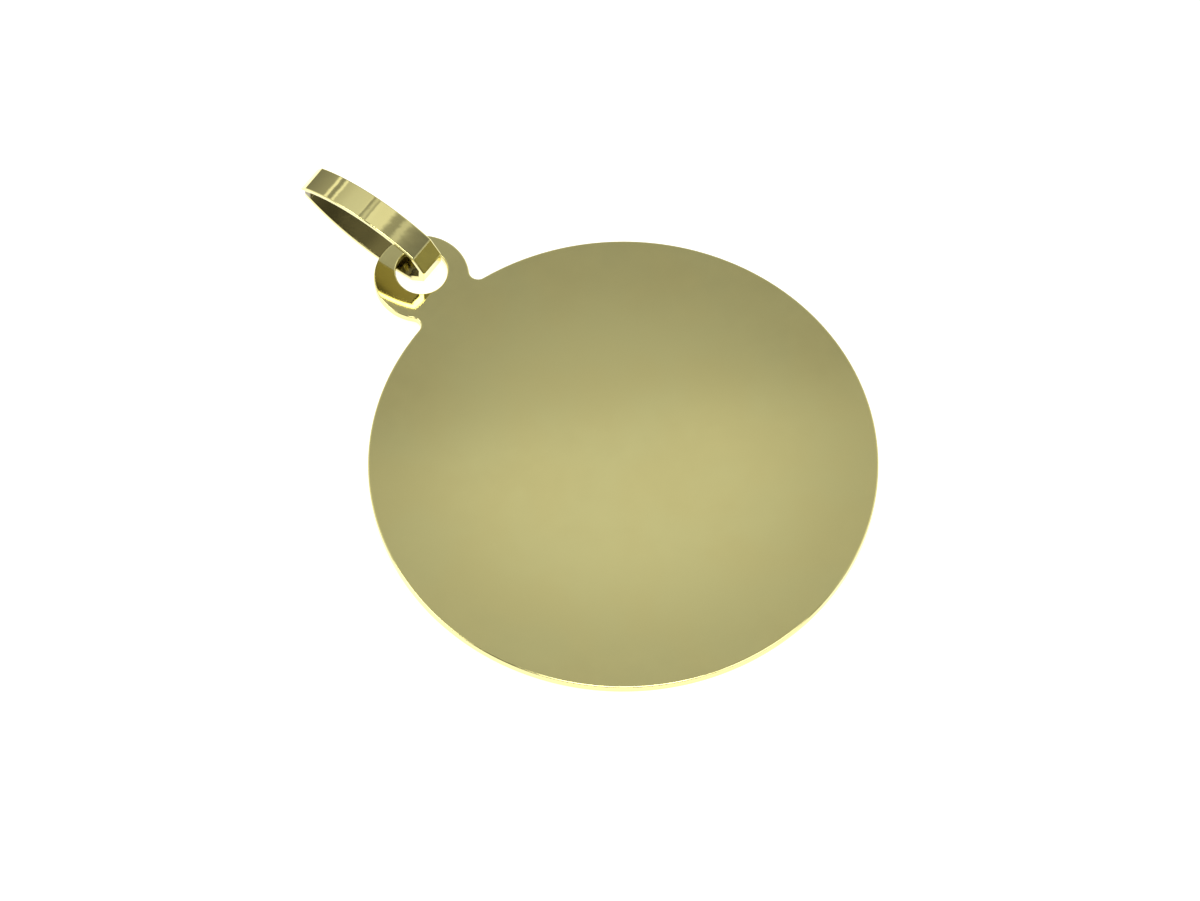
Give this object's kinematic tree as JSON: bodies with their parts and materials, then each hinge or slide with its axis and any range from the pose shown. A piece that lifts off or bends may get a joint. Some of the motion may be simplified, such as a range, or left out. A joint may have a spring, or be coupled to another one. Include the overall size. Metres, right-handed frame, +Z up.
{
  "type": "disc pendant",
  "caption": "Flat round metal pendant disc with a small ear and a loose strip bail for a chain, lying on its back.",
  "frame": {"origin": "on the surface that the pendant lies on, below the middle of its bounding box", "axes": "+Z up from the surface; +Y along the pendant from the disc to the bail; +X across the disc"},
  "size_m": [0.018, 0.0246, 0.0032],
  "materials": {
    "disc_gold": "mirror polished yellow gold",
    "bail_gold": "mirror polished yellow gold"
  },
  "bodies": {
    "disc": {"disc": "disc_gold"},
    "bail": {"bail": "bail_gold"}
  },
  "joints": [
    {"name": "bail_swing", "type": "hinge", "parent": "disc", "child": "bail", "pos_m": [0.00008, 0.00825, 0.00147], "axis": [0.9842, 0.177, 0.0038], "range_deg": [-72, 133]}
  ]
}
